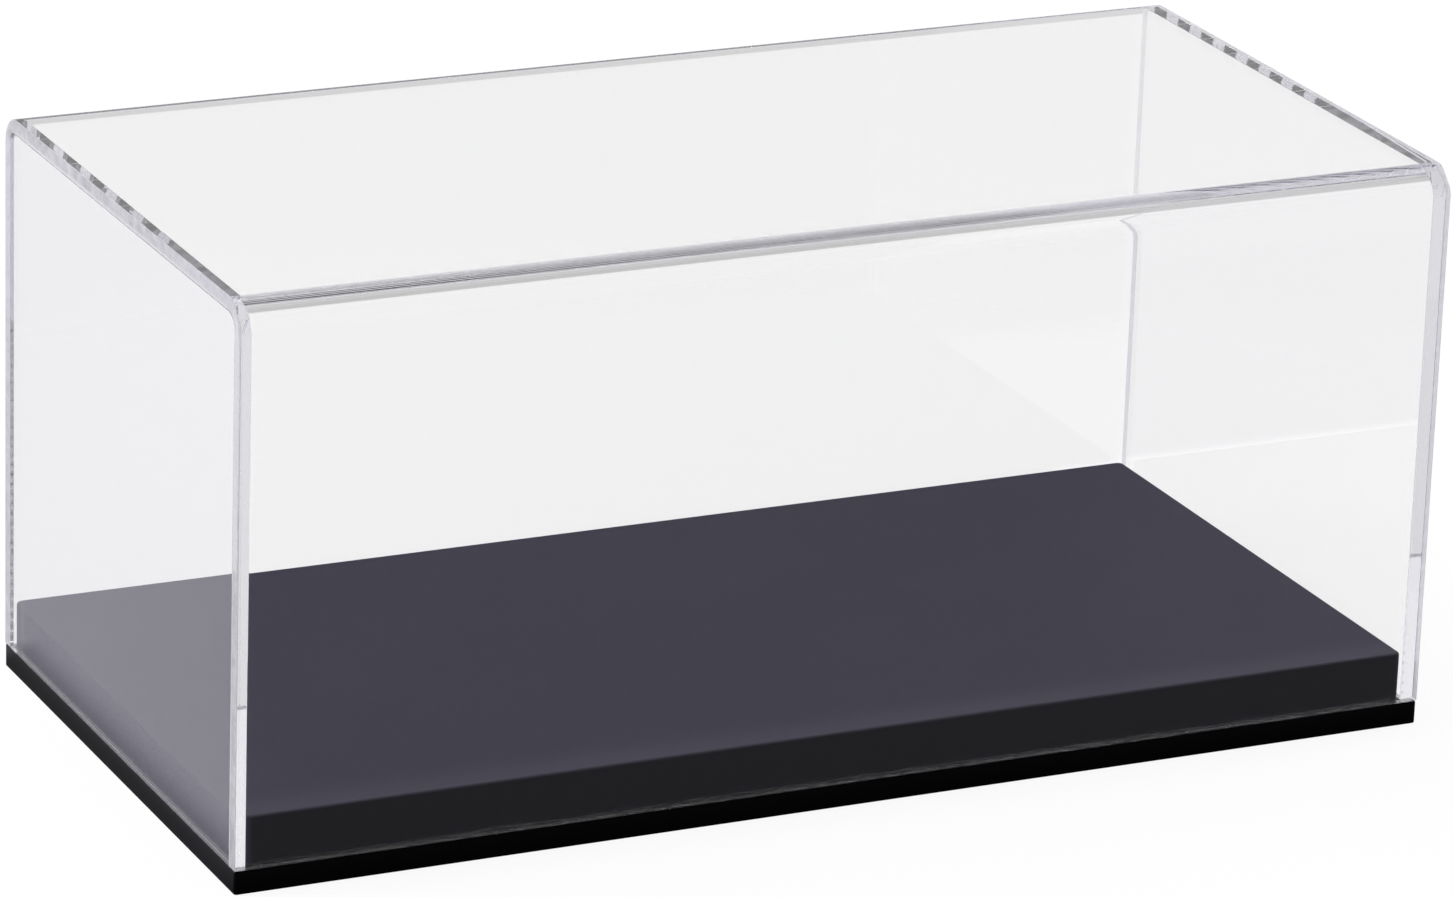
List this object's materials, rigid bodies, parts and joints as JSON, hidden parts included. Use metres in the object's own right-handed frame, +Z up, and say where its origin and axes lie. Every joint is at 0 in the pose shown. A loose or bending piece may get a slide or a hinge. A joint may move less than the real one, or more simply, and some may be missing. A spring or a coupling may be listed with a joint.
{
  "type": "display case",
  "caption": "Small clear acrylic display case: a lift-off cover with bent long edges on a stepped black base.",
  "frame": {"origin": "middle of the underside of the base plate", "axes": "+X along the case to the right as the picture shows it, +Y to its back, +Z up"},
  "size_m": [0.24, 0.12, 0.11],
  "materials": {
    "clear_acrylic": "clear cast acrylic sheet, polished faces",
    "black_gloss_acrylic": "gloss",
    "black_satin_acrylic": "satin"
  },
  "bodies": {
    "base": {"base_plate": "black_gloss_acrylic", "plinth": "black_satin_acrylic"},
    "cover": {"bent_cover_sheet": "clear_acrylic", "left_end_panel": "clear_acrylic", "right_end_panel": "clear_acrylic"}
  },
  "joints": [
    {"name": "cover_lift", "type": "slide", "parent": "base", "child": "cover", "axis": [0, 0, 1], "range_m": [0, 0.11]}
  ]
}
